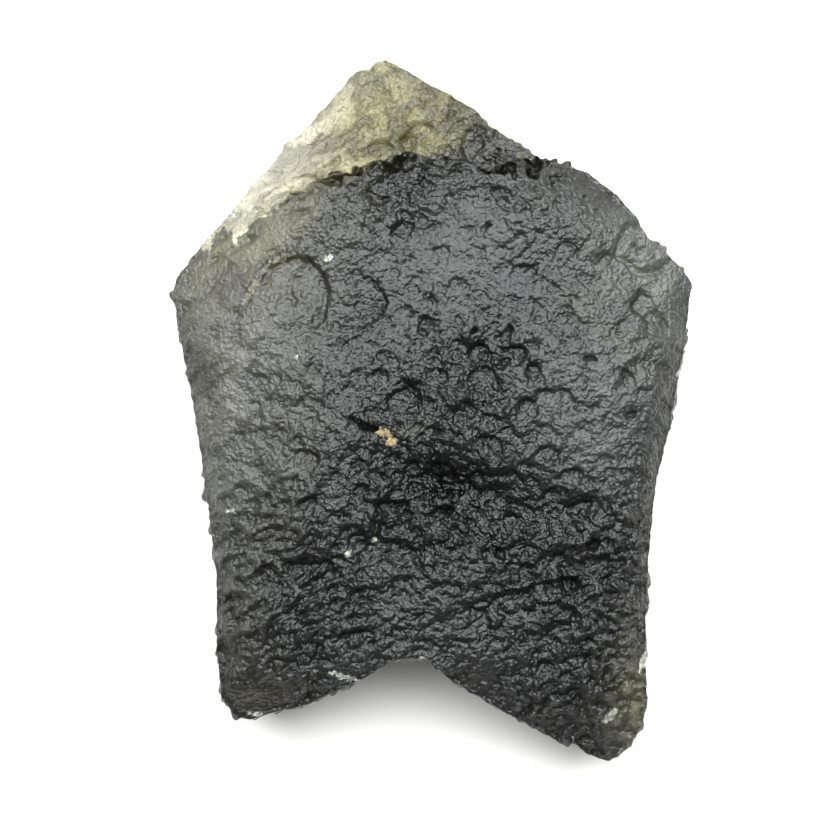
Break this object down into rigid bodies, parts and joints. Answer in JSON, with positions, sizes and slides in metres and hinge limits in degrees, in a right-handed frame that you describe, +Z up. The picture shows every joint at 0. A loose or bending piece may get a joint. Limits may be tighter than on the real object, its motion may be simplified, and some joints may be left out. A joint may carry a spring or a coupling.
{
  "type": "raw moldavite",
  "caption": "Flat raw moldavite, pointed at one end and notched at the other, with an etched, pitted surface.",
  "frame": {"origin": "on the ground under the middle of the stone's outline", "axes": "+Z up from the ground; +Y towards the pointed end, away from the notch; +X to the right seen from above with the point away from the viewer"},
  "size_m": [0.026, 0.0352, 0.0084],
  "materials": {
    "glass": "natural bottle-green glass with a dull, deeply etched skin; nearly black where it is thick, olive where it is thin"
  },
  "bodies": {
    "root": {"moldavite": "glass"}
  },
  "joints": []
}
